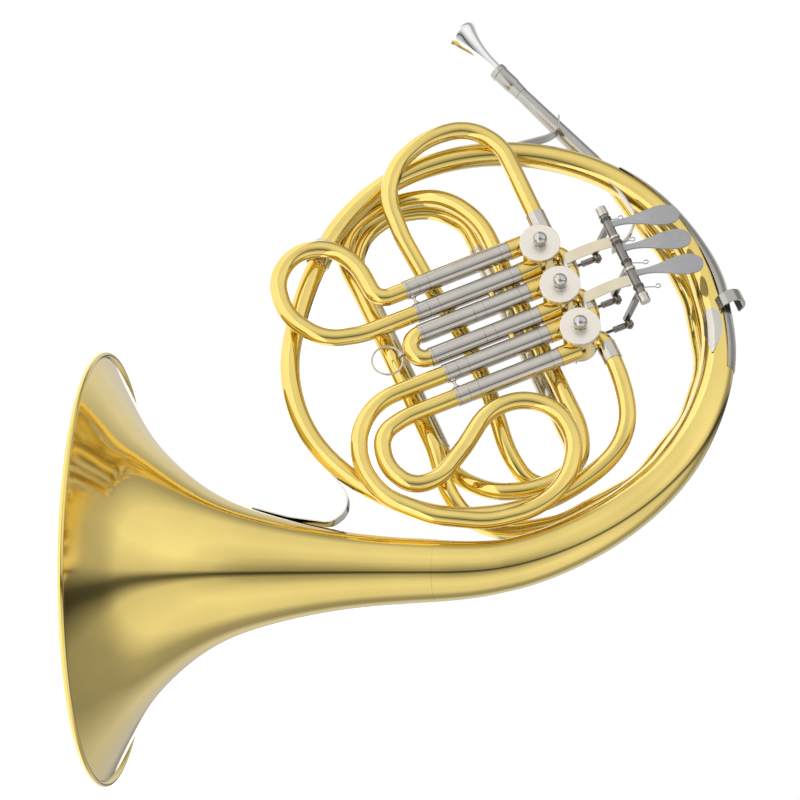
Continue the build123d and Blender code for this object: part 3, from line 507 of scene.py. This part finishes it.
# nickel_dull on the hand guard, leadpipe tip, receiver, receiver brace and finger hook is painted shade for
# their darker reflections; the screws and saddles keep plain nickel
finish_and_shade_picks = {"hand_guard": "nickel_dull", "leadpipe_tip": "nickel_dull", "mouthpiece_receiver": "nickel_dull",
            "receiver_brace": "nickel_dull", "finger_hook": "nickel_dull", "hinge_screws": "nickel_silver",
            "lever_saddles": "nickel_silver"}
for node in ("lever_1", "lever_2", "lever_3", "lever_saddles", "hinge_screws", "key_bridges", "tube_posts",
             "receiver_brace", "bell_brace", "lever_brace", "hand_guard", "finger_hook",
             "valve_casing_1", "valve_casing_2", "valve_casing_3", "valve_knuckles", "valve_crossovers",
             "valve_ferrules", "branch_ferrule", "mouthpiece_receiver", "leadpipe_tip", "ring_eyelet",
             "stop_arm_1", "stop_arm_2", "stop_arm_3", "stop_plates"):
    is_lever = node.startswith("lever_") and node[-1].isdigit()
    made = softened(node, 0.35 if is_lever else 0.18, finish_and_shade_picks.get(node))
    if is_lever:            # the barrel and the back arm take the dark steel; on the back arm, which lies deeper in shadow, this is painted shade
        made.data.materials.append(MATS["dark_steel"])
        hinge = place(HINGE_X, 0, HINGE_Z)
        for face in made.data.polygons:
            away = np.array(face.center) * 1000 - hinge
            away -= to_first * np.dot(away, to_first)
            # painted shade mask: faces within 3.8 mm of the hinge axis (the barrel) and over 4.5 mm behind it
            # (the back arm) take the dark steel
            if np.linalg.norm(away) < 3.8 or np.dot(away, normal) < -4.5:
                face.material_index = 1

# the finger hook's foot: a pointed plate that hugs the tail
tail_path, tail_size = spline(tapers[0][5], tapers[0][3], tapers[0][4], tapers[0][6], 1.8)
along = np.gradient(tail_path, axis=0)
foot = []
for point, size, run in zip(tail_path, tail_size, along):
    at = np.dot(point - middle, to_first)
    if -86 < at < -50 and np.dot(point - middle, to_levers) > 60:
        foot.append((at, point, size, unit(run)))
grid, faces = [], []
for at, point, size, run in foot:
    front = unit(normal - np.dot(normal, run) * run)
    outward = np.cross(run, front)
    outward *= np.sign(np.dot(outward, to_levers))
    share = (at + 86) / 36
    taper_in, round_off = min(1.0, share / 0.45), max(0.02, 1 - max(0, share - 0.72) ** 2 / 0.08)
    half = math.radians(33) * taper_in * math.sqrt(round_off)
    for lift in (0.95, -0.2):
        for k in range(17):
            a = math.radians(-20) + half * (k / 8 - 1)
            grid.append(point + (front * math.cos(a) + outward * math.sin(a)) * (size + lift))
for i in range(len(foot) - 1):
    for k in range(33):
        a, b = i * 34 + k, (i + 1) * 34 + k
        if k != 16:
            faces.append((a, a + 1, b + 1, b))
    faces += [(i * 34 + 16, i * 34 + 33, (i + 1) * 34 + 33, (i + 1) * 34 + 16),
              (i * 34, (i + 1) * 34, (i + 1) * 34 + 17, i * 34 + 17)]
plate = shaded("hook_foot", np.array(grid), faces, MATS["nickel_silver"], 50)
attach(plate, node_body["finger_hook"])

ring_mean = 11
ring_x = -105 - LEG_OFFSET - R - 1.7 - ring_mean
ring_line = np.array([place(ring_x + ring_mean * math.cos(a), 1.2 + ring_mean * math.sin(a), DEPTH)
                      for a in np.linspace(0, 2 * math.pi, 97)])
ring = tube("pull_ring_wire", ring_line, 0.8, 0, MATS["nickel_silver"], 20)
stands_for(ring, "pull_ring")

# ------------------------------------------------------------------ stage, light and camera
def stage():
    mesh = bpy.data.meshes.new("floor")
    s, z = 1.1, -0.0006
    mesh.from_pydata([(-s, -s, z), (s, -s, z), (s, s, z), (-s, s, z)], [], [(0, 1, 2, 3)])
    floor = bpy.data.objects.new("floor", mesh)
    bpy.context.scene.collection.objects.link(floor)
    mat = bpy.data.materials.new("pale_floor")
    mat.use_nodes = True
    shader = mat.node_tree.nodes["Principled BSDF"]
    shader.inputs["Base Color"].default_value = (0.95, 0.95, 0.95, 1)
    shader.inputs["Emission Color"].default_value = (1, 1, 1, 1)
    shader.inputs["Emission Strength"].default_value = 0.5
    shader.inputs["Roughness"].default_value = 0.9
    mesh.materials.append(mat)


stage()

bpy.context.scene.view_settings.view_transform = "Standard"
world = bpy.data.worlds.new("studio")
bpy.context.scene.world = world
world.use_nodes = True
wt = world.node_tree
wt.nodes.clear()
out = wt.nodes.new("ShaderNodeOutputWorld")
geo = wt.nodes.new("ShaderNodeTexCoord")


def wave(direction, stops):
    """Grey by the angle between the look direction and one axis of the studio."""
    dot = wt.nodes.new("ShaderNodeVectorMath")
    dot.operation = "DOT_PRODUCT"
    dot.inputs[1].default_value = direction
    wt.links.new(geo.outputs["Generated"], dot.inputs[0])
    shift = wt.nodes.new("ShaderNodeMapRange")
    shift.inputs["From Min"].default_value = -1
    shift.inputs["From Max"].default_value = 1
    wt.links.new(dot.outputs["Value"], shift.inputs["Value"])
    ramp = wt.nodes.new("ShaderNodeValToRGB")
    while len(ramp.color_ramp.elements) < len(stops):
        ramp.color_ramp.elements.new(0.5)
    for element, (at, grey) in zip(ramp.color_ramp.elements, stops):
        element.position = at
        element.color = (grey, grey, grey, 1)
    wt.links.new(shift.outputs["Result"], ramp.inputs["Fac"])
    return ramp


toward = Vector((0.419, -0.891, 0.174)).normalized()
right = Vector((-0.074, 0.1575, 0.985)).normalized()
above = toward.cross(right)
right = above.cross(toward)
vertical = wave(tuple(above), [(0.0, 0.85), (0.20, 0.95), (0.39, 0.75), (0.445, 0.10), (0.465, 0.10),
                               (0.50, 0.70), (0.62, 1.0), (1.0, 0.85)])
facing = wave(tuple(toward), [(0.0, 0.65), (0.12, 0.72), (0.24, 0.36), (0.36, 0.44), (0.52, 0.92),
                              (0.80, 1.0), (0.93, 0.80), (1.0, 0.42)])
mixer = wt.nodes.new("ShaderNodeMix")
mixer.data_type = "RGBA"
mixer.blend_type = "MULTIPLY"
mixer.inputs["Factor"].default_value = 1.0
wt.links.new(vertical.outputs["Color"], mixer.inputs["A"])
wt.links.new(facing.outputs["Color"], mixer.inputs["B"])
lit = wt.nodes.new("ShaderNodeBackground")
lit.inputs["Strength"].default_value = 1.15
wt.links.new(mixer.outputs["Result"], lit.inputs["Color"])
plain = wt.nodes.new("ShaderNodeBackground")
plain.inputs["Color"].default_value = (1, 1, 1, 1)
plain.inputs["Strength"].default_value = 1.0
ray = wt.nodes.new("ShaderNodeLightPath")
pick = wt.nodes.new("ShaderNodeMixShader")
wt.links.new(ray.outputs["Is Camera Ray"], pick.inputs["Fac"])
wt.links.new(lit.outputs["Background"], pick.inputs[1])
wt.links.new(plain.outputs["Background"], pick.inputs[2])
wt.links.new(pick.outputs["Shader"], out.inputs["Surface"])


def softbox(name, position, width, height, power):
    light = bpy.data.lights.new(name, "AREA")
    light.shape, light.size, light.size_y, light.energy = "RECTANGLE", width, height, power
    obj = bpy.data.objects.new(name, light)
    obj.location = position
    aim = Vector((-0.21, 0, 0.3))
    obj.rotation_mode = "QUATERNION"
    obj.rotation_quaternion = (aim - Vector(position)).to_track_quat("-Z", "Y")
    obj.visible_glossy = False
    bpy.context.scene.collection.objects.link(obj)


centre = Vector((-0.2, 0.0, 0.25))
softbox("key", centre + above * 1.3 + toward * 1.0 - right * 0.5, 1.2, 0.7, 30)
softbox("fill", centre - above * 1.2 + toward * 1.2 + right * 0.4, 1.4, 0.5, 9)

camera_data = bpy.data.cameras.new("camera")
camera = bpy.data.objects.new("camera", camera_data)
bpy.context.scene.collection.objects.link(camera)
bpy.context.scene.camera = camera
camera_data.lens, camera_data.sensor_width = 400.0, 36.0
view_width = 0.5688                         # metres across the picture at the object
distance = view_width / (36.0 / 400.0)
target = right * 0.2108 + above * 0.1205
camera.rotation_mode = "QUATERNION"
camera.rotation_quaternion = Matrix((right, above, toward)).transposed().to_quaternion()
camera.location = target + toward * distance
camera_data.clip_start, camera_data.clip_end = 0.1, 100.0
